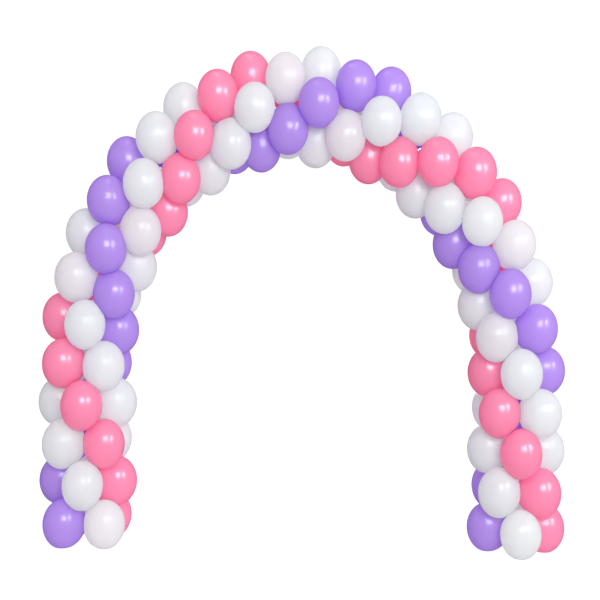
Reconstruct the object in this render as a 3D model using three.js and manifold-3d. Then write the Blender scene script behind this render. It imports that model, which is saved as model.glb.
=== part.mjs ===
// Balloon garland: a free-standing arch of latex balloons in clusters of four.
// Each cluster is two duplets, and a duplet is two balloons tied neck to neck.
// Every cluster is turned an eighth of a turn from the last, which winds the colours into a spiral.
// Millimetres, +Z up, +Y away from the viewer. The origin is on the floor, midway between the feet.

import * as THREE from 'three';
import { mergeVertices } from 'three/addons/utils/BufferGeometryUtils.js';
import ManifoldModule from 'manifold-3d';

// ---------------------------------------------------------------- driving dimensions

const BALLOON_WIDTH = 190;
const BALLOON_HEIGHT = 236;
const CLUSTER_COUNT = 30;
const PITCH = 150; // between clusters, along the line of the garland before it is stretched upwards
const RING_RADIUS = 138; // from the middle of a cluster to the middle of each balloon
const CROWN_RADIUS = 1027; // half the span of the line of the garland
const LINE_STRETCH = 1.257; // how much taller than a half circle the crown of the line is
const CROWN_SWAY = -33; // the crown leans this far along X, and the feet not at all
const TWIST = Math.PI / 4; // from each cluster to the next

const NECK_BULGE = 0.12; // how much further the neck side of a balloon reaches than its crown
const NECK_RADIUS = 8;
const NECK_START = 25; // from the middle of a cluster to where the balloon narrows into its neck
const DUPLET_OFFSET = 9; // the two duplets' necks pass this far either side of the middle of a cluster
const CONTACT_GAP = 0.4; // between balloons that press on each other
const NEIGHBOUR_REACH = 1.2 * BALLOON_WIDTH; // balloons whose middles are further apart never touch
const FOOT_FLATTENING = 5; // of the lowest balloons, on the floor

const BALLOON_STRETCH = BALLOON_HEIGHT / BALLOON_WIDTH;
const BALLOON_RADIUS = BALLOON_WIDTH / 2;

// A mesh has one colour, so a duplet of a purple and a pink balloon has the mean of the two.
const WHITE = 0xe6e7ec;
const PURPLE_AND_PINK = 0xd68ccc;

// ---------------------------------------------------------------- the line of the garland

const lineLength = (CLUSTER_COUNT - 1) * PITCH;
const crownLength = Math.PI * CROWN_RADIUS;
const legLength = (lineLength - crownLength) / 2;

// The middle of a cluster, and the two directions across the arch there: outwards, and along its line.
function clusterFrame(index) {
  const along = index * PITCH;
  const share = index / (CLUSTER_COUNT - 1);
  const turn = THREE.MathUtils.clamp((along - legLength) / CROWN_RADIUS, 0, Math.PI);
  const outwards = new THREE.Vector3(-Math.cos(turn), 0, Math.sin(turn));
  const onwards = new THREE.Vector3(Math.sin(turn), 0, Math.cos(turn));
  const pastCrown = along - legLength - turn * CROWN_RADIUS; // below 0 in the left leg, above in the right
  const centre = outwards.clone().multiplyScalar(CROWN_RADIUS).addScaledVector(onwards, pastCrown);
  centre.x += CROWN_SWAY * Math.sin(Math.PI * share);
  centre.z = (centre.z + legLength) * LINE_STRETCH + BALLOON_HEIGHT / 2 - FOOT_FLATTENING;
  return { centre, outwards, onwards: onwards.setZ(onwards.z * LINE_STRETCH).normalize() };
}

// ---------------------------------------------------------------- balloons

// One balloon's place: quarter 0 is purple, 2 is pink, and 1 and 3 are white.
function placeBalloon(index, quarter) {
  const { centre, outwards, onwards } = clusterFrame(index);
  const angle = (index + 1) * TWIST + (quarter * Math.PI) / 2;
  const away = new THREE.Vector3(0, -Math.cos(angle), 0).addScaledVector(outwards, Math.sin(angle));
  const reach = away.clone().setZ(away.z * LINE_STRETCH);
  return {
    clusterCentre: centre,
    onwards,
    away,
    reachDirection: reach.clone().normalize(),
    centre: centre.clone().addScaledVector(reach, RING_RADIUS),
  };
}

const balloons = [];
for (let index = 0; index < CLUSTER_COUNT; index++) {
  for (let quarter = 0; quarter < 4; quarter++) {
    balloons.push(placeBalloon(index, quarter));
  }
}

// Squashes a point's height, so that a balloon becomes as tall as it is wide.
const evened = (point) => point.clone().setZ(point.z / BALLOON_STRETCH);

// The flat faces between a balloon and those that press on it: each is halfway between two middles.
function contactPlanes(balloon) {
  const planes = [];
  for (const other of balloons) {
    const toOther = evened(other.centre).sub(evened(balloon.centre));
    const distance = toOther.length();
    if (other !== balloon && distance < NEIGHBOUR_REACH) {
      planes.push({ normal: toOther.divideScalar(distance), reach: (distance - CONTACT_GAP) / 2 });
    }
  }
  return planes;
}

// The sphere that every balloon starts from, as 42 points and 80 triangles.
function facetedSphere() {
  const sphere = new THREE.IcosahedronGeometry(1, 1);
  sphere.deleteAttribute('normal');
  sphere.deleteAttribute('uv');
  const merged = mergeVertices(sphere, 1e-4);
  const points = [];
  for (let i = 0; i < merged.attributes.position.count; i++) {
    points.push(new THREE.Vector3().fromBufferAttribute(merged.attributes.position, i));
  }
  return { points, index: Array.from(merged.index.array) };
}

const sphere = facetedSphere();

// The second triangle is the middle one of a face of the icosahedron. It becomes the neck.
const neckRing = sphere.index.slice(3, 6);
const bodyTriangles = [...sphere.index.slice(0, 3), ...sphere.index.slice(6)];

// The sphere's axes: out through the neck, then out through a point a quarter of a turn from it,
// which is turned to the floor so that a foot has one lowest point and rests level.
function sphereFrame() {
  const neckwards = new THREE.Vector3();
  neckRing.forEach((corner) => neckwards.add(sphere.points[corner]));
  neckwards.normalize();
  const footwards = sphere.points.find((point) => Math.abs(point.dot(neckwards)) < 1e-6);
  const sideways = new THREE.Vector3().crossVectors(neckwards, footwards);
  return new THREE.Matrix4().makeBasis(neckwards, footwards, sideways);
}

const sphereFrameInverse = sphereFrame().invert();

// The points of one balloon, with its neck ring drawn in beside the middle of its cluster.
function balloonPoints(balloon, side) {
  const inwards = balloon.away.clone().negate();
  const across = balloon.onwards.clone().projectOnPlane(inwards).normalize();
  const sideways = new THREE.Vector3().crossVectors(inwards, across);
  const turn = new THREE.Matrix4().makeBasis(inwards, across, sideways).multiply(sphereFrameInverse);
  const planes = contactPlanes(balloon);
  const points = sphere.points.map((point) => {
    const direction = point.clone().applyMatrix4(turn);
    const neckwards = Math.max(0, direction.dot(inwards));
    let reach = BALLOON_RADIUS * (1 + NECK_BULGE * neckwards ** 3);
    for (const plane of planes) {
      const facing = direction.dot(plane.normal);
      if (facing > 0) {
        reach = Math.min(reach, plane.reach / facing);
      }
    }
    direction.multiplyScalar(reach);
    return direction.setZ(direction.z * BALLOON_STRETCH).add(balloon.centre);
  });

  const ringMiddle = balloon.clusterCentre.clone()
    .addScaledVector(balloon.reachDirection, NECK_START)
    .addScaledVector(balloon.onwards, side * DUPLET_OFFSET);
  const ringAcross = balloon.onwards.clone().multiplyScalar(NECK_RADIUS);
  neckRing.forEach((corner, step) => {
    const around = (step * 2 * Math.PI) / 3;
    const spoke = ringAcross.clone().applyAxisAngle(balloon.reachDirection, -around);
    points[corner] = ringMiddle.clone().add(spoke);
  });
  return points;
}

// ---------------------------------------------------------------- duplets

// Two balloons' points and triangles, joined by a three-sided neck between their neck rings.
function dupletGeometry(first, second, side) {
  const firstPoints = balloonPoints(first, side);
  const secondPoints = balloonPoints(second, side);
  const shift = firstPoints.length;
  const points = [...firstPoints, ...secondPoints];
  const triangles = [...bodyTriangles, ...bodyTriangles.map((i) => i + shift)];
  const mate = neckRing.map((corner) => nearestCorner(points, corner, shift));
  for (let step = 0; step < 3; step++) {
    const next = (step + 1) % 3;
    triangles.push(neckRing[step], neckRing[next], mate[next]);
    triangles.push(neckRing[step], mate[next], mate[step]);
  }

  const geometry = new THREE.BufferGeometry();
  geometry.setAttribute('position', new THREE.Float32BufferAttribute(points.flatMap((p) => p.toArray()), 3));
  geometry.setIndex(triangles);
  return geometry;
}

// The corner of the second balloon's neck ring that lies across the cluster from a corner of the first's.
function nearestCorner(points, corner, shift) {
  const candidates = neckRing.map((i) => i + shift);
  candidates.sort((a, b) => points[a].distanceTo(points[corner]) - points[b].distanceTo(points[corner]));
  return candidates[0];
}

// ---------------------------------------------------------------- flat feet

const manifold = await ManifoldModule();
manifold.setup();

function toSolid(geometry) {
  return new manifold.Manifold(new manifold.Mesh({
    numProp: 3,
    vertProperties: new Float32Array(geometry.attributes.position.array),
    triVerts: new Uint32Array(geometry.index.array),
  }));
}

function fromSolid(solid) {
  const mesh = solid.getMesh();
  const geometry = new THREE.BufferGeometry();
  geometry.setAttribute('position', new THREE.BufferAttribute(mesh.vertProperties, 3));
  geometry.setIndex(new THREE.BufferAttribute(mesh.triVerts, 1));
  return geometry;
}

const FLOOR_DEPTH = 100;

function floorSolid() {
  const floor = new THREE.BoxGeometry(4 * CROWN_RADIUS, 4 * BALLOON_WIDTH, FLOOR_DEPTH);
  floor.translate(0, 0, -FLOOR_DEPTH / 2);
  floor.deleteAttribute('normal');
  floor.deleteAttribute('uv');
  return toSolid(mergeVertices(floor));
}

const floor = floorSolid();

// ---------------------------------------------------------------- the arch

function latex(colour) {
  return new THREE.MeshStandardMaterial({ color: colour, roughness: 0.18, metalness: 0 });
}

const garland = new THREE.Group();
garland.name = 'balloon_garland';

function addDuplet(index, quarter, name, colour) {
  const side = quarter === 0 ? 1 : -1;
  let geometry = dupletGeometry(balloons[index * 4 + quarter], balloons[index * 4 + quarter + 2], side);
  const standsOnFloor = index === 0 || index === CLUSTER_COUNT - 1;
  if (standsOnFloor) {
    geometry = fromSolid(toSolid(geometry).subtract(floor));
  }
  const mesh = new THREE.Mesh(geometry, latex(colour));
  mesh.name = `pair_${String(index + 1).padStart(2, '0')}_${name}`;
  garland.add(mesh);
}

for (let index = 0; index < CLUSTER_COUNT; index++) {
  addDuplet(index, 0, 'purple_pink', PURPLE_AND_PINK);
  addDuplet(index, 1, 'white', WHITE);
}

// The crown's lean makes the left and right reach differ, so the arch is centred on its own box.
const middle = new THREE.Box3().setFromObject(garland).getCenter(new THREE.Vector3());
garland.position.set(-middle.x, -middle.y, 0);

export default garland;
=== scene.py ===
"""Balloon garland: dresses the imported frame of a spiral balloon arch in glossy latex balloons.

The frame's pair nodes are plain faceted solids, each standing for two balloons tied neck to neck. Every
balloon is modelled here as a piece of its own, with its neck, knot and rolled lip, and is pressed flat
against its neighbours and the floor. A cluster's four balloons are its quarters, in this order around
the line of the garland: purple, white, pink, white.
"""

import math
import random

import bmesh
import bpy
import numpy as np
from mathutils import Matrix, Vector, geometry


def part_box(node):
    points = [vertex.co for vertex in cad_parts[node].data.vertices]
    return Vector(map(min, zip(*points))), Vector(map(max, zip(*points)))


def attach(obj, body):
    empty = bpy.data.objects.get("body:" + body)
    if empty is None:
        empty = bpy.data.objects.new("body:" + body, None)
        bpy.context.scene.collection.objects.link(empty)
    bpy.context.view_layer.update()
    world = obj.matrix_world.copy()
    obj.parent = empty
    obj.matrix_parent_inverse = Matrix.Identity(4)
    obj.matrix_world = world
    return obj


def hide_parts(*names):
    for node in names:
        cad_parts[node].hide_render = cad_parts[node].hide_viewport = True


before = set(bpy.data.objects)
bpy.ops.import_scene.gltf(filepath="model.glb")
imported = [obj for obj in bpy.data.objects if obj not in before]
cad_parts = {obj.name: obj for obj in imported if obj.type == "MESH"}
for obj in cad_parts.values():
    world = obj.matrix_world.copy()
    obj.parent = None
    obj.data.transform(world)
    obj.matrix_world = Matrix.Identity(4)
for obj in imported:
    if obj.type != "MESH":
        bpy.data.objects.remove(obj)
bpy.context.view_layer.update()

bl_info = {
    "name": "Balloon Garland",
    "version": (1, 0, 0),
    "blender": (4, 5, 0),
    "location": "View3D > Sidebar > Garland",
    "description": "Dresses a spiral balloon arch in glossy latex balloons",
    "category": "Add Mesh",
}

CLUSTERS = len(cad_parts) // 2
SEED = 7


# ------------------------------------------------------------------------------------------------
# What a user would change


class GarlandArch(bpy.types.PropertyGroup):
    """The line of the garland, and how the clusters sit on it."""

    pitch: bpy.props.FloatProperty(
        name="Pitch", description="Between clusters along the line, before it is stretched upwards",
        default=0.150, unit="LENGTH")
    ring_radius: bpy.props.FloatProperty(
        name="Ring radius", description="From the middle of a cluster to the middle of a balloon",
        default=0.138, unit="LENGTH")
    crown_radius: bpy.props.FloatProperty(
        name="Crown radius", description="Half the span of the line of the garland",
        default=1.027, unit="LENGTH")
    line_stretch: bpy.props.FloatProperty(
        name="Line stretch", description="How much the line is stretched upwards",
        default=1.257)
    crown_sway: bpy.props.FloatProperty(
        name="Crown sway", description="How far the crown leans to the right",
        default=-0.033, unit="LENGTH")
    twist: bpy.props.FloatProperty(
        name="Twist", description="Turn from each cluster to the next",
        default=math.radians(45), subtype="ANGLE")


class GarlandBalloon(bpy.types.PropertyGroup):
    """One balloon's sizes, and how much they vary."""

    width: bpy.props.FloatProperty(
        name="Width", description="Across the balloon", default=0.190, unit="LENGTH")
    height: bpy.props.FloatProperty(
        name="Height", description="From top to bottom, as it sits in the arch",
        default=0.236, unit="LENGTH")
    neck_reach: bpy.props.FloatProperty(
        name="Neck reach", description="How much longer the neck's half is than the crown's",
        default=1.19)
    neck_radius: bpy.props.FloatProperty(
        name="Neck radius", description="Of the twisted neck", default=0.0055, unit="LENGTH")
    neck_offset: bpy.props.FloatProperty(
        name="Neck offset", description="Of each pair's necks, to their own side of the cluster's middle",
        default=0.009, unit="LENGTH")
    foot_flattening: bpy.props.FloatProperty(
        name="Foot flattening", description="Of the lowest balloons on the floor",
        default=0.005, unit="LENGTH")
    size_spread: bpy.props.FloatProperty(
        name="Size spread", description="Share by which one balloon's size differs from the next",
        default=0.012, subtype="FACTOR")
    tilt_spread: bpy.props.FloatProperty(
        name="Tilt spread", description="How far a balloon leans, with its knot kept in place",
        default=math.radians(3), subtype="ANGLE")
    shift_spread: bpy.props.FloatProperty(
        name="Shift spread", description="How far a balloon's middle strays from its place",
        default=0.002, unit="LENGTH")


class GarlandLatex(bpy.types.PropertyGroup):
    """The three colours of latex and their shine."""

    white: bpy.props.FloatVectorProperty(
        name="White", description="Colour of the white latex", size=3, subtype="COLOR",
        default=(0.862, 0.905, 0.9))
    purple: bpy.props.FloatVectorProperty(
        name="Purple", description="Colour of the purple latex", size=3, subtype="COLOR",
        default=(0.618, 0.428, 0.89))
    pink: bpy.props.FloatVectorProperty(
        name="Pink", description="Colour of the pink latex", size=3, subtype="COLOR",
        default=(0.985, 0.421, 0.617))
    see_through: bpy.props.FloatProperty(
        name="See-through", description="Share of the light that the thin skin lets through",
        default=0.65, subtype="FACTOR")
    roughness: bpy.props.FloatProperty(
        name="Roughness", description="Of the latex", default=0.34, subtype="FACTOR")
    white_gloss: bpy.props.FloatProperty(
        name="White gloss", description="Weight of the shine on top of the white latex",
        default=0.48, subtype="FACTOR")
    purple_gloss: bpy.props.FloatProperty(
        name="Purple gloss", description="Weight of the shine on top of the purple latex",
        default=0.75, subtype="FACTOR")
    pink_gloss: bpy.props.FloatProperty(
        name="Pink gloss", description="Weight of the shine on top of the pink latex",
        default=0.93, subtype="FACTOR")
    gloss_roughness: bpy.props.FloatProperty(
        name="Gloss roughness", description="Of that shine", default=0.195, subtype="FACTOR")
    # Painted shade: how far the colour is darkened towards its deep form beside a neighbour, where the
    # crease is shaded
    painted_shade_near_contacts: bpy.props.FloatProperty(
        name="Depth near contacts", description="How much the colour deepens beside a neighbour",
        default=0.08, subtype="FACTOR")
    depth_near_neck: bpy.props.FloatProperty(
        name="Depth near neck", description="How much it deepens where the latex is thick",
        default=0.9, subtype="FACTOR")
    # Painted light: how much a white balloon is tinted by the light shining through a pink balloon
    # straight behind it
    painted_light_behind: bpy.props.FloatProperty(
        name="Tint behind", description="How much a white balloon takes on the colour behind it",
        default=0.06, subtype="FACTOR")
    mottle: bpy.props.FloatProperty(
        name="Mottle", description="How uneven the latex is", default=0.04, subtype="FACTOR")


class GarlandStudio(bpy.types.PropertyGroup):
    """Where the camera stands, and where it points."""

    camera_distance: bpy.props.FloatProperty(
        name="Camera distance", description="In front of the arch", default=4.845, unit="LENGTH")
    camera_height: bpy.props.FloatProperty(
        name="Camera height", description="Above the floor", default=1.303, unit="LENGTH")
    camera_pitch: bpy.props.FloatProperty(
        name="Camera pitch", description="Upwards", default=-0.0239, subtype="ANGLE")
    camera_yaw: bpy.props.FloatProperty(
        name="Camera yaw", description="To the left", default=0.0048, subtype="ANGLE")
    camera_roll: bpy.props.FloatProperty(
        name="Camera roll", description="To the left", default=0.0200, subtype="ANGLE")
    camera_lens: bpy.props.FloatProperty(
        name="Lens", description="Focal length, mm", default=60.74)


# ------------------------------------------------------------------------------------------------
# Where the balloons go


class Balloon:
    """One balloon's place, in a space where heights are divided so that it is as tall as it is wide."""

    def __init__(self, index, quarter, scene, rng):
        arch, shape = scene.garland_arch, scene.garland_balloon
        self.index, self.quarter = index, quarter
        self.stretch = shape.height / shape.width
        hub, outwards, onwards = cluster_frame(index, scene)
        angle = (index + 1) * arch.twist + quarter * math.pi / 2
        away = Vector((0, -math.cos(angle), 0)) + outwards * math.sin(angle)
        reach = away * arch.ring_radius
        reach.z *= arch.line_stretch
        self.radius = shape.width / 2 * (1 + rng.uniform(-1, 1) * shape.size_spread)
        stray = Vector([rng.uniform(-1, 1) for _ in range(3)]) * shape.shift_spread
        self.centre = evened(hub + reach, self.stretch) + stray
        tilt = Vector([rng.uniform(-1, 1) for _ in range(3)]) * shape.tilt_spread
        self.away = (away + tilt.cross(away)).normalized()
        # How far the tilt and the stray would take the knot from its place in the cluster
        self.knot_stray = stray - (self.away - away) * KNOT_AT * self.radius
        self.onwards = onwards
        self.neck_side = 1 if quarter % 2 == 0 else -1

    @property
    def colour(self):
        return ("purple", "white", "pink", "white")[self.quarter]

    @property
    def name(self):
        place = {1: "_first", 3: "_second"}.get(self.quarter, "")
        return f"balloon_{self.index + 1:02d}_{self.colour}{place}"

    @property
    def frame_node(self):
        pair = "white" if self.colour == "white" else "purple_pink"
        return f"pair_{self.index + 1:02d}_{pair}"


def evened(point, stretch):
    return Vector((point.x, point.y, point.z / stretch))


def cluster_frame(index, scene):
    """The middle of a cluster, and the directions outwards and onwards from it."""
    arch, shape = scene.garland_arch, scene.garland_balloon
    leg = ((CLUSTERS - 1) * arch.pitch - math.pi * arch.crown_radius) / 2
    along = index * arch.pitch
    turn = min(max((along - leg) / arch.crown_radius, 0), math.pi)
    outwards = Vector((-math.cos(turn), 0, math.sin(turn)))
    onwards = Vector((math.sin(turn), 0, math.cos(turn)))
    past_crown = along - leg - turn * arch.crown_radius
    hub = outwards * arch.crown_radius + onwards * past_crown
    hub.x += arch.crown_sway * math.sin(math.pi * index / (CLUSTERS - 1)) + arch_shift(scene)
    hub.z = (hub.z + leg) * arch.line_stretch + shape.height / 2 - shape.foot_flattening
    return hub, outwards, onwards


def arch_shift(scene):
    """How far the frame's first cluster stands from where the line's own middle would put it."""
    low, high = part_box("pair_01_white")
    return (low.x + high.x) / 2 + scene.garland_arch.crown_radius


def all_balloons(scene):
    rng = random.Random(SEED)
    return [Balloon(index, quarter, scene, rng) for index in range(CLUSTERS) for quarter in range(4)]


# ------------------------------------------------------------------------------------------------
# The shape of a balloon

# Of a balloon of radius 1, with its crown at +Z
BODY_STEPS = 44
AROUND_STEPS = 72
SAME_POINT = 1e-5
FUNNEL_START = 0.36  # the body narrows into a funnel where it is this wide
FUNNEL_STEPS = 7
FUNNEL_CURVE = (0.45, 0.27)  # the curve's two handles, as shares of the funnel's length
KNOT_AT = 1.31  # below the middle
KNOT_BULGE = 0.035
KNOT_HALF_HEIGHT = 0.05
KNOT_STEPS = 5
LIP_AT = 1.385
LIP_FLARE = 1.3  # times the neck's radius
LIP_RADIUS = 0.018
NECK_BENDS = (-1.12, -1.28)  # between these heights the neck turns off to its side of the knot
NECK_DEEPENS = (-0.45, -1.15)  # and between these the latex gets thicker

# In metres
CONTACT_GAP = 0.0003
CONTACT_SOFTNESS = 0.0018
CONTACT_SHADE = 0.024  # how far from a contact the colour deepens

NEIGHBOUR_REACH = 1.35  # balloon widths between the middles of two that may touch
# Painted light on white balloons: where a pink one lies straight behind a white one, its colour is
# painted into the white, for the light shining through the pink
SQUARELY_BEHIND = (0.80, 0.95)  # how straight behind a white balloon its neighbour lies, to tint it
PRESSED_BEHIND = (1.35, 1.05)  # and how far off the plane between them is, in radii
SHINES_THROUGH = {"pink": 1.0, "purple": 0.0, "white": 0.0}
PAINTED_LIGHT_GROWS = (-3, 1)  # to half on the side that faces the neighbour, and to full on the side away


def profile(reach, neck):
    """The outline from crown to lip: body, funnel, knot and rolled lip."""
    points = []
    for step in range(BODY_STEPS + 1):
        turn = math.pi * step / BODY_STEPS
        if turn <= math.pi / 2:
            points.append((math.sin(turn), math.cos(turn)))
        elif math.sin(turn) > FUNNEL_START:
            points.append((math.sin(turn), reach * math.cos(turn)))
    start = Vector((*points[-1], 0))
    slope = (start - Vector((*points[-2], 0))).normalized()
    end = Vector((neck, -KNOT_AT + KNOT_HALF_HEIGHT, 0))
    first, second = ((end - start).length * share for share in FUNNEL_CURVE)
    funnel = geometry.interpolate_bezier(
        start, start + slope * first, end + Vector((0, second, 0)), end, FUNNEL_STEPS)
    points += [(p.x, p.y) for p in funnel[1:]]
    for step in range(1, KNOT_STEPS + 1):
        turn = math.pi * step / KNOT_STEPS
        bulge, height = KNOT_BULGE * math.sin(turn), KNOT_HALF_HEIGHT * math.cos(turn)
        points.append((neck + bulge, height - KNOT_AT))
    lip = Vector((neck * LIP_FLARE, -LIP_AT))
    points.append((lip.x, lip.y + LIP_RADIUS))
    for step in range(1, KNOT_STEPS):
        turn = math.tau * step / KNOT_STEPS - math.pi / 2
        points.append((lip.x + LIP_RADIUS * math.cos(turn), lip.y + LIP_RADIUS * math.sin(turn)))
    points.append((0, lip.y + 2 * LIP_RADIUS))
    return points


def balloon_blank(scene):
    """The unpressed balloon of radius 1 that every piece is copied from."""
    shape = scene.garland_balloon
    outline = profile(shape.neck_reach, shape.neck_radius / (shape.width / 2))
    bm = bmesh.new()
    verts = [bm.verts.new((across, 0, up)) for across, up in outline]
    edges = [bm.edges.new(pair) for pair in zip(verts, verts[1:])]
    bmesh.ops.spin(
        bm, geom=verts + edges, cent=(0, 0, 0), axis=(0, 0, 1), dvec=(0, 0, 0),
        angle=math.tau, steps=AROUND_STEPS, use_merge=True, use_duplicate=False)
    bmesh.ops.remove_doubles(bm, verts=bm.verts, dist=SAME_POINT)
    bmesh.ops.recalc_face_normals(bm, faces=bm.faces)
    if bm.calc_volume(signed=True) < 0:  # the small lip misleads it, and all the faces point inwards
        bmesh.ops.reverse_faces(bm, faces=bm.faces)
    mesh = bpy.data.meshes.new("balloon_blank")
    bm.to_mesh(mesh)
    bm.free()
    mesh.polygons.foreach_set("use_smooth", [True] * len(mesh.polygons))
    return mesh


def smoothstep(low, high, values):
    share = np.clip((values - low) / (high - low), 0, 1)
    return share * share * (3 - 2 * share)


def pressed_back(depth, softness):
    """How far a point that lies this deep past a contact plane is moved back, with a rounded edge."""
    return softness * np.logaddexp(0, depth / softness)


def shape_balloon(mesh, balloon, neighbours, scene):
    """Turns the blank to its place and presses it flat against its neighbours and the floor."""
    shape = scene.garland_balloon
    blank = np.empty(len(mesh.vertices) * 3)
    mesh.vertices.foreach_get("co", blank)
    blank = blank.reshape(-1, 3)
    across = (balloon.onwards - balloon.away * balloon.onwards.dot(balloon.away)).normalized()
    sideways = balloon.away.cross(across)
    turn = np.array([across, sideways, balloon.away])
    places = blank @ turn * balloon.radius
    neck = smoothstep(*NECK_BENDS, blank[:, 2])
    facing = places / np.linalg.norm(places, axis=1)[:, None]
    # Painted shade: how near each point lies to a contact with a neighbour, to darken the colour there
    contact = np.zeros(len(places))
    behind = np.zeros((len(places), 4))
    for other in neighbours:
        towards = other.centre - balloon.centre
        distance = towards.length
        reach = (distance ** 2 + balloon.radius ** 2 - other.radius ** 2) / (2 * distance)
        normal = np.array(towards / distance)
        depth = places @ normal - (reach - CONTACT_GAP)
        places -= np.outer(pressed_back(depth, CONTACT_SOFTNESS) * (1 - neck), normal)
        contact = np.maximum(contact, smoothstep(-CONTACT_SHADE, 0, depth))
        # Painted light from a pink balloon straight behind this white one
        if balloon.colour == "white":
            share = smoothstep(*SQUARELY_BEHIND, abs(normal[1])) * SHINES_THROUGH[other.colour]
            share = share * smoothstep(*PRESSED_BEHIND, reach / balloon.radius)
            tint = getattr(scene.garland_latex, other.colour)
            behind += np.outer(share * smoothstep(*PAINTED_LIGHT_GROWS, -(facing @ normal)), (*tint, 1))
    tied = balloon.onwards * balloon.neck_side * shape.neck_offset - balloon.knot_stray
    places += np.outer(neck, tied)
    places += np.array(balloon.centre)
    places[:, 2] *= balloon.stretch
    if balloon.index in (0, CLUSTERS - 1):
        places[:, 2] += pressed_back(-places[:, 2], CONTACT_SOFTNESS)
    mesh.vertices.foreach_set("co", places.ravel())
    mesh.update()
    seen = np.maximum(behind[:, 3:], 1)
    behind[:, :3] = np.where(behind[:, 3:] > 0, behind[:, :3] / np.maximum(behind[:, 3:], 1e-6), 1)
    behind[:, 3:] = behind[:, 3:] / seen * scene.garland_latex.painted_light_behind
    # Masks for the painted shade beside neighbours, the thick latex by the neck, and the painted light
    # behind white balloons
    store(mesh, "contact", "FLOAT", "value", contact)
    store(mesh, "neck", "FLOAT", "value", smoothstep(*NECK_DEEPENS, blank[:, 2]))
    store(mesh, "behind", "FLOAT_COLOR", "color", behind)


def store(mesh, name, kind, field, values):
    mesh.attributes.new(name, kind, "POINT").data.foreach_set(field, np.ravel(values))


# ------------------------------------------------------------------------------------------------
# Latex

# The deep form is the colour of the thick latex by the neck, and also the painted shade beside neighbours
DEEPENING = 2.2  # power that turns a latex colour into its thick, deep form
PALING = 0.8  # share of what it lacks of white that the latex keeps where it is palest
MATT_SPREAD = 0.05
RIPPLE = {"Strength": 0.025, "Distance": 0.002}
LATEX_IOR = 1.5

# Scale and detail of each pattern
CLOUDS = (22, 3)
MATT_PATCHES = (60, 4)
RIPPLES = (35, 2)
PATTERN_ROUGHNESS = 0.55
CLOUD_STRENGTH = 4  # times the mottle


def shader_node(tree, kind, settings=None, **inputs):
    """A new node with its settings and plain inputs set."""
    made = tree.nodes.new(kind)
    for key, value in (settings or {}).items():
        setattr(made, key, value)
    for key, value in inputs.items():
        made.inputs[key.replace("_", " ")].default_value = value
    return made


def mixed_colours(tree, first, second, share):
    """The colour output of a mix; what is an output is linked, and what is a plain value is set."""
    mix = shader_node(tree, "ShaderNodeMix", {"data_type": "RGBA"})
    for socket, value in ((mix.inputs[6], first), (mix.inputs[7], second), (mix.inputs[0], share)):
        if isinstance(value, bpy.types.NodeSocket):
            tree.links.new(value, socket)
        else:
            socket.default_value = value
    return mix.outputs[2]


def scaled(tree, value, factor):
    product = shader_node(tree, "ShaderNodeMath", {"operation": "MULTIPLY"})
    tree.links.new(value, product.inputs[0])
    product.inputs[1].default_value = factor
    return product.outputs[0]


def attribute(tree, name):
    return shader_node(tree, "ShaderNodeAttribute", {"attribute_name": name})


def mottling(tree, place, pattern):
    scale, detail = pattern
    noise = shader_node(
        tree, "ShaderNodeTexNoise", Scale=scale, Detail=detail, Roughness=PATTERN_ROUGHNESS)
    tree.links.new(place, noise.inputs["Vector"])
    return noise.outputs["Fac"]


def latex(colour_name, scene):
    """Glossy latex: a thin skin that lets some light through, deeper near necks where it is thick, with
    painted shade beside neighbours and painted light on white balloons from a pink one behind.
    """
    look = scene.garland_latex
    colour = getattr(look, colour_name)
    material = bpy.data.materials.new(f"{colour_name}_latex")
    material.use_nodes = True
    tree = material.node_tree
    shader = tree.nodes["Principled BSDF"]
    place = shader_node(tree, "ShaderNodeTexCoord").outputs["Object"]
    fresh = (*colour, 1)
    thick_and_shaded = (*(channel ** DEEPENING for channel in colour), 1)
    pale = (*(1 - (1 - channel) * PALING for channel in colour), 1)

    # Painted shade beside neighbours, then the deeper colour of the thick latex by the neck
    contact = scaled(tree, attribute(tree, "contact").outputs["Fac"], look.painted_shade_near_contacts)
    neck = scaled(tree, attribute(tree, "neck").outputs["Fac"], look.depth_near_neck)
    behind = attribute(tree, "behind")
    cloud = scaled(tree, mottling(tree, place, CLOUDS), look.mottle * CLOUD_STRENGTH)
    skin = mixed_colours(tree, fresh, pale, cloud)
    skin = mixed_colours(tree, skin, thick_and_shaded, contact)
    skin = mixed_colours(tree, skin, thick_and_shaded, neck)
    # Painted light: white balloons take on the colour of a pink balloon straight behind them
    skin = mixed_colours(tree, skin, behind.outputs["Color"], behind.outputs["Alpha"])
    tree.links.new(skin, shader.inputs["Base Color"])

    matt = shader_node(
        tree, "ShaderNodeMapRange",
        To_Min=look.roughness - MATT_SPREAD, To_Max=look.roughness + MATT_SPREAD)
    tree.links.new(mottling(tree, place, MATT_PATCHES), matt.inputs["Value"])
    tree.links.new(matt.outputs["Result"], shader.inputs["Roughness"])
    ripple = shader_node(tree, "ShaderNodeBump", **RIPPLE)
    tree.links.new(mottling(tree, place, RIPPLES), ripple.inputs["Height"])
    tree.links.new(ripple.outputs["Normal"], shader.inputs["Normal"])
    shader.inputs["IOR"].default_value = LATEX_IOR
    gloss = getattr(look, f"{colour_name}_gloss")
    shader.inputs["Specular IOR Level"].default_value = gloss ** 2 / 2
    shader.inputs["Coat Weight"].default_value = gloss
    shader.inputs["Coat Roughness"].default_value = look.gloss_roughness

    through = shader_node(tree, "ShaderNodeBsdfTranslucent")
    tree.links.new(skin, through.inputs["Color"])
    both = shader_node(tree, "ShaderNodeMixShader")
    both.inputs["Fac"].default_value = look.see_through
    tree.links.new(shader.outputs["BSDF"], both.inputs[1])
    tree.links.new(through.outputs["BSDF"], both.inputs[2])
    tree.links.new(both.outputs["Shader"], tree.nodes["Material Output"].inputs["Surface"])
    return material


# ------------------------------------------------------------------------------------------------
# Making the pieces


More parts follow.
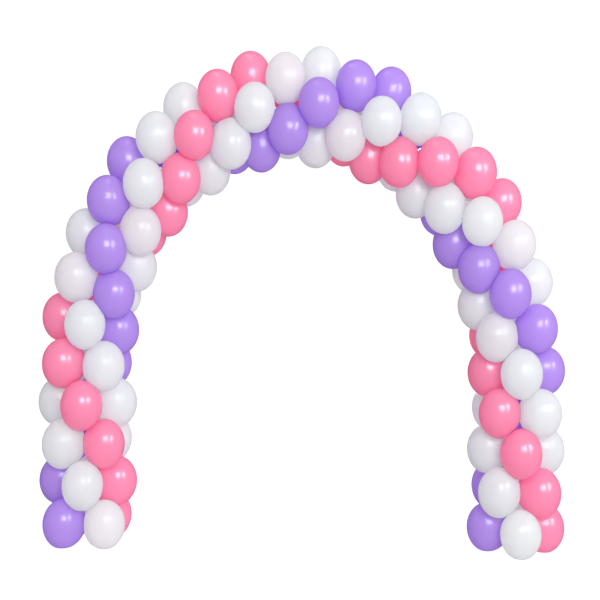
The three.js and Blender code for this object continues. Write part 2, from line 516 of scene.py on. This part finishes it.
def make_balloons(colour, scene):
    """Every balloon of one colour."""
    balloons = all_balloons(scene)
    blank = balloon_blank(scene)
    material = latex(colour, scene)
    limit = scene.garland_balloon.width * NEIGHBOUR_REACH
    for balloon in balloons:
        if balloon.colour != colour:
            continue
        mesh = blank.copy()
        mesh.name = balloon.name
        mesh.materials.append(material)
        neighbours = [
            other for other in balloons
            if other is not balloon and (other.centre - balloon.centre).length < limit]
        shape_balloon(mesh, balloon, neighbours, scene)
        piece = bpy.data.objects.new(balloon.name, mesh)
        scene.collection.objects.link(piece)
        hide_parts(balloon.frame_node)
        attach(piece, "root")
    bpy.data.meshes.remove(blank)


class GARLAND_OT_white_balloons(bpy.types.Operator):
    """Makes the white balloons"""

    bl_idname = "garland.white_balloons"
    bl_label = "White Balloons"

    def execute(self, context):
        make_balloons("white", context.scene)
        return {"FINISHED"}


class GARLAND_OT_purple_balloons(bpy.types.Operator):
    """Makes the purple balloons"""

    bl_idname = "garland.purple_balloons"
    bl_label = "Purple Balloons"

    def execute(self, context):
        make_balloons("purple", context.scene)
        return {"FINISHED"}


class GARLAND_OT_pink_balloons(bpy.types.Operator):
    """Makes the pink balloons"""

    bl_idname = "garland.pink_balloons"
    bl_label = "Pink Balloons"

    def execute(self, context):
        make_balloons("pink", context.scene)
        return {"FINISHED"}


# ------------------------------------------------------------------------------------------------
# The studio

MIDDLE = Vector((0, 0, 1.3))  # of the arch, where the lights point
REAR = 0.5  # how squarely backwards a balloon faces, to be one of those at the back
ROOM_LIGHT = 0.968
ROOM_BRIGHTER_TOWARDS = (0.22, 0.22, 0.09)
SKIN_BOUNCES = 24  # light goes through many thin skins before it is lost
SHINE_COLOUR = (0.85, 0.97, 1.0)
FLOOR_RADIUS, BACKDROP_RADIUS = 30, 40
FLOOR_GLOW, BACKDROP_GLOW = 0.86, 1.1
CAMERA_SENSOR = 36  # mm

# Name, place, size and power of each soft box; whether it is only seen in the gloss, or only lights the
# matt colour; and whether it reaches only the balloons at the back
LIGHTS = (
    ("key_box", (1.6, -8.5, 4.2), (4.6, 3.0), 1250, True, False),
    ("side_box", (6.4, -5.5, 4.2), (3.0, 2.6), 670, True, False),
    ("side_box_foot", (6.0, -6.0, 2.2), (0.9, 1.6), 100, True, False),
    ("ceiling_box", (-0.7, -0.6, 6.0), (2.8, 0.6), 42, True, False),
    ("back_box", (-1.6, 8.5, 4.2), (4.6, 3.0), 1250, True, True),
    ("back_fill", (-1.6, 8.5, 4.2), (5.0, 4.0), 360, False, True),
    ("front_fill", (2.2, -8.4, 3.6), (5.0, 4.0), 690, False, False),
)


def area_light(name, place, size, power, shine, scene):
    """A soft box that is either only seen in the gloss or only lights the matt colour."""
    data = bpy.data.lights.new(name, "AREA")
    data.shape = "RECTANGLE"
    data.size, data.size_y = size
    data.energy = power
    data.color = SHINE_COLOUR if shine else (1, 1, 1)
    light = bpy.data.objects.new(name, data)
    light.location = place
    light.rotation_euler = (MIDDLE - light.location).to_track_quat("-Z", "Y").to_euler()
    light.visible_diffuse = light.visible_transmission = not shine
    light.visible_glossy = shine
    scene.collection.objects.link(light)
    return light


def make_lights(scene):
    rear = rear_balloons(scene)
    for name, place, size, power, shine, rear_only in LIGHTS:
        light = area_light(name, place, size, power, shine, scene)
        if rear_only:
            light.light_linking.receiver_collection = rear


def rear_balloons(scene):
    """The balloons at the back, which alone are lit by the boxes behind the arch."""
    rear = bpy.data.collections.new("rear_balloons")
    for balloon in all_balloons(scene):
        if balloon.away.y > REAR:
            rear.objects.link(bpy.data.objects[balloon.name])
    return rear


def stage_material(name, colour, glow):
    material = bpy.data.materials.new(name)
    material.use_nodes = True
    shader = material.node_tree.nodes["Principled BSDF"]
    shader.inputs["Base Color"].default_value = (*colour, 1)
    shader.inputs["Roughness"].default_value = 1
    shader.inputs["Specular IOR Level"].default_value = 0
    shader.inputs["Emission Color"].default_value = (1, 1, 1, 1)
    shader.inputs["Emission Strength"].default_value = glow
    return material


def stage_piece(name, bm, material, scene):
    """A piece that the camera sees, but that neither lights the object nor shows in its gloss."""
    mesh = bpy.data.meshes.new(name)
    bm.to_mesh(mesh)
    bm.free()
    mesh.materials.append(material)
    piece = bpy.data.objects.new(name, mesh)
    scene.collection.objects.link(piece)
    piece.visible_diffuse = False
    piece.visible_glossy = False
    piece.visible_transmission = False
    piece.visible_shadow = False
    return piece


def make_floor(scene):
    bm = bmesh.new()
    bmesh.ops.create_circle(bm, cap_ends=True, segments=96, radius=FLOOR_RADIUS)
    material = stage_material("pale_floor", (0.3, 0.3, 0.31), FLOOR_GLOW)
    floor = stage_piece("floor", bm, material, scene)


def make_backdrop(scene):
    bm = bmesh.new()
    bmesh.ops.create_uvsphere(bm, u_segments=48, v_segments=24, radius=BACKDROP_RADIUS)
    material = stage_material("white_backdrop", (0, 0, 0), BACKDROP_GLOW)
    backdrop = stage_piece("backdrop", bm, material, scene)


def make_world(scene):
    """A soft room, brighter on one side, that lights the matt colour and isn't seen in the gloss."""
    world = bpy.data.worlds.new("studio")
    world.use_nodes = True
    world.cycles_visibility.glossy = False
    tree = world.node_tree
    background = tree.nodes["Background"]
    background.inputs["Color"].default_value = (1, 1, 1, 1)
    place = shader_node(tree, "ShaderNodeTexCoord").outputs["Generated"]
    brighter = shader_node(tree, "ShaderNodeVectorMath", {"operation": "DOT_PRODUCT"})
    tree.links.new(place, brighter.inputs[0])
    brighter.inputs[1].default_value = ROOM_BRIGHTER_TOWARDS
    strength = shader_node(tree, "ShaderNodeMath", {"operation": "ADD"})
    tree.links.new(brighter.outputs["Value"], strength.inputs[0])
    strength.inputs[1].default_value = ROOM_LIGHT
    tree.links.new(strength.outputs["Value"], background.inputs["Strength"])
    scene.world = world
    scene.cycles.diffuse_bounces = SKIN_BOUNCES
    scene.cycles.transmission_bounces = SKIN_BOUNCES
    scene.cycles.max_bounces = SKIN_BOUNCES


def make_camera(scene):
    studio = scene.garland_studio
    data = bpy.data.cameras.new("camera")
    data.lens = studio.camera_lens
    data.sensor_width = CAMERA_SENSOR
    camera = bpy.data.objects.new("camera", data)
    camera.matrix_world = (
        Matrix.Translation((0, -studio.camera_distance, studio.camera_height))
        @ Matrix.Rotation(studio.camera_yaw, 4, "Z")
        @ Matrix.Rotation(math.pi / 2 + studio.camera_pitch, 4, "X")
        @ Matrix.Rotation(studio.camera_roll, 4, "Z"))
    scene.collection.objects.link(camera)
    scene.camera = camera


class GARLAND_OT_stage(bpy.types.Operator):
    """Makes the floor, the lights and the camera"""

    bl_idname = "garland.stage"
    bl_label = "Stage"

    def execute(self, context):
        scene = context.scene
        make_floor(scene)
        make_backdrop(scene)
        make_world(scene)
        make_camera(scene)
        make_lights(scene)
        scene.view_settings.view_transform = "Standard"
        return {"FINISHED"}


class GARLAND_PT_panel(bpy.types.Panel):
    """Lists the garland's sizes and steps"""

    bl_label = "Balloon Garland"
    bl_idname = "GARLAND_PT_panel"
    bl_space_type = "VIEW_3D"
    bl_region_type = "UI"
    bl_category = "Garland"

    def draw(self, context):
        layout = self.layout
        for name, group in PROPERTY_GROUPS.items():
            box = layout.box()
            for key in group.__annotations__:
                box.prop(getattr(context.scene, name), key)
        for step in STEPS:
            layout.operator(step.bl_idname)


PROPERTY_GROUPS = {
    "garland_arch": GarlandArch,
    "garland_balloon": GarlandBalloon,
    "garland_latex": GarlandLatex,
    "garland_studio": GarlandStudio,
}
STEPS = (
    GARLAND_OT_white_balloons,
    GARLAND_OT_purple_balloons,
    GARLAND_OT_pink_balloons,
    GARLAND_OT_stage,
)


def register():
    for name, group in PROPERTY_GROUPS.items():
        bpy.utils.register_class(group)
        setattr(bpy.types.Scene, name, bpy.props.PointerProperty(type=group))
    for cls in (*STEPS, GARLAND_PT_panel):
        bpy.utils.register_class(cls)


def unregister():
    for cls in (GARLAND_PT_panel, *reversed(STEPS)):
        bpy.utils.unregister_class(cls)
    for name, group in reversed(PROPERTY_GROUPS.items()):
        delattr(bpy.types.Scene, name)
        bpy.utils.unregister_class(group)


def main():
    register()
    bpy.ops.garland.white_balloons()
    bpy.ops.garland.purple_balloons()
    bpy.ops.garland.pink_balloons()
    bpy.ops.garland.stage()


if __name__ == "__main__":
    main()
